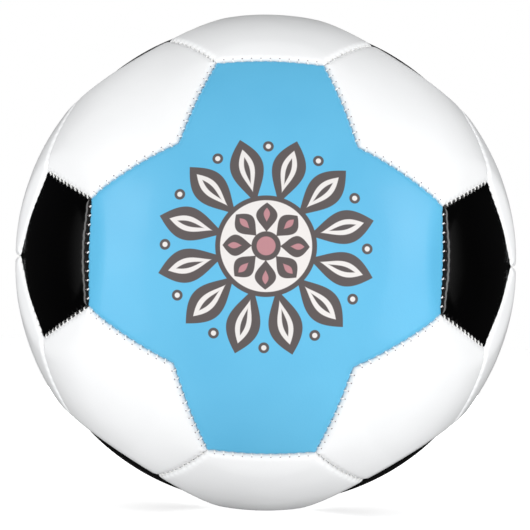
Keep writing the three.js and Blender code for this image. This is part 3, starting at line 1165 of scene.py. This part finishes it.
# %% Floor
FLOOR_HALF = 6.0
FLOOR_HEIGHT = -0.2 * MM
FLOOR_GLOW = 0.62
floor_material, _, floor_shader = new_material("pale floor")
floor_shader["Base Color"].default_value = srgb(235, 235, 235)
floor_shader["Roughness"].default_value = 0.9
floor_shader["Emission Color"].default_value = (1.0, 1.0, 1.0, 1.0)
floor_shader["Emission Strength"].default_value = FLOOR_GLOW
floor_mesh = bpy.data.meshes.new("floor")
floor_corners = [
    (x * FLOOR_HALF, y * FLOOR_HALF, FLOOR_HEIGHT) for x, y in ((-1, -1), (1, -1), (1, 1), (-1, 1))
]
floor_mesh.from_pydata(floor_corners, [], [(0, 1, 2, 3)])
floor = new_piece("floor", floor_mesh)
floor.data.materials.append(floor_material)
floor.visible_diffuse = False
floor.visible_glossy = False
print("floor:", 2 * FLOOR_HALF, "m wide")

# %% [markdown]
# Most light comes from the world behind the camera, as from a white wall. It fades to dark behind
# the ball, which gives the rim its grey edge, and is stronger at the sides, above and below.
# The camera itself sees the world as pure white, and gloss sees it dimmed, so that the black
# leather mirrors little more than the softboxes.

# %% Light of the room
WALL_ENDS = (0.22, -0.28)
WALL_LIGHT = (0.02, 0.84)
SIDE_ENDS = (0.45, 0.95)
SIDE_GAIN = 1.5
FLOOR_ENDS = (-0.1, -0.8)
FLOOR_GAIN = 1.75
CEILING_ENDS = (0.3, 0.9)
CEILING_GAIN = 1.2
GLOSS_SHARE = 0.4


def studio_world():
    world = bpy.data.worlds.new("studio")
    world.use_nodes = True
    tree = world.node_tree
    tree.nodes.clear()
    direction = place(tree, "ShaderNodeTexCoord").outputs["Generated"]
    parts = place(tree, "ShaderNodeSeparateXYZ", {0: direction}).outputs
    wall = in_range(tree, parts["Y"], *WALL_ENDS, *WALL_LIGHT, soft=True)
    aside = calc(tree, "ABSOLUTE", parts["X"])
    sides = in_range(tree, aside, *SIDE_ENDS, 1.0, SIDE_GAIN, soft=True)
    below = in_range(tree, parts["Z"], *FLOOR_ENDS, 1.0, FLOOR_GAIN)
    above = in_range(tree, parts["Z"], *CEILING_ENDS, 1.0, CEILING_GAIN)
    rays = place(tree, "ShaderNodeLightPath").outputs
    mirrored = in_range(tree, rays["Is Glossy Ray"], 0.0, 1.0, 1.0, GLOSS_SHARE)
    level = wall
    for gain in (sides, above, below, mirrored):
        level = calc(tree, "MULTIPLY", level, gain)
    soft = place(tree, "ShaderNodeBackground", {"Color": (1, 1, 1, 1), "Strength": level})
    seen = place(tree, "ShaderNodeBackground", {"Color": (1, 1, 1, 1), "Strength": 1.0})
    either = {0: rays["Is Camera Ray"], 1: soft.outputs[0], 2: seen.outputs[0]}
    both = place(tree, "ShaderNodeMixShader", either).outputs[0]
    place(tree, "ShaderNodeOutputWorld", {0: both})
    bpy.context.scene.world = world


studio_world()
print("world:", bpy.context.scene.world.name)

# %% [markdown]
# Two tall softboxes at the sides whiten the flanks and draw a line of light down the black panels.
# A square one behind shows the back of the ball in other views. It is left out of the gloss,
# because a bright mirror image at the rim would wash out the edge.

# %% Softboxes
SOFTBOX_DISTANCE = 1.3
SOFTBOXES = (
    # name, azimuth and elevation in degrees, width and height in metres, watts
    ("softbox_left", -66, 0, 0.6, 1.5, 10.5),
    ("softbox_right", 66, 0, 0.6, 1.5, 11.3),
    ("back_fill", 180, 12, 0.9, 0.9, 12.0),
)


def softbox(name, azimuth, elevation, width, height, power):
    data = bpy.data.lights.new(name, "AREA")
    data.shape = "RECTANGLE"
    data.size = width
    data.size_y = height
    data.energy = power
    lamp = bpy.data.objects.new(name, data)
    bpy.context.scene.collection.objects.link(lamp)
    a, e = math.radians(azimuth), math.radians(elevation)
    outward = Vector((math.sin(a) * math.cos(e), -math.cos(a) * math.cos(e), math.sin(e)))
    lamp.location = BALL_CENTRE + SOFTBOX_DISTANCE * outward
    lamp.rotation_euler = (-outward).to_track_quat("-Z", "Y").to_euler()
    return lamp


lamps = [softbox(*values) for values in SOFTBOXES]
lamps[-1].visible_glossy = False
bpy.context.scene.view_settings.view_transform = "Standard"
print("softboxes:", [lamp.name for lamp in lamps])

# %% [markdown]
# Last, the helper objects go.

# %% Finish
for helper in (SEAM_NET, PRINT_NET, BLACK_NET, WHITE_NET, PENTAGON_MIDDLES):
    bpy.data.objects.remove(helper)
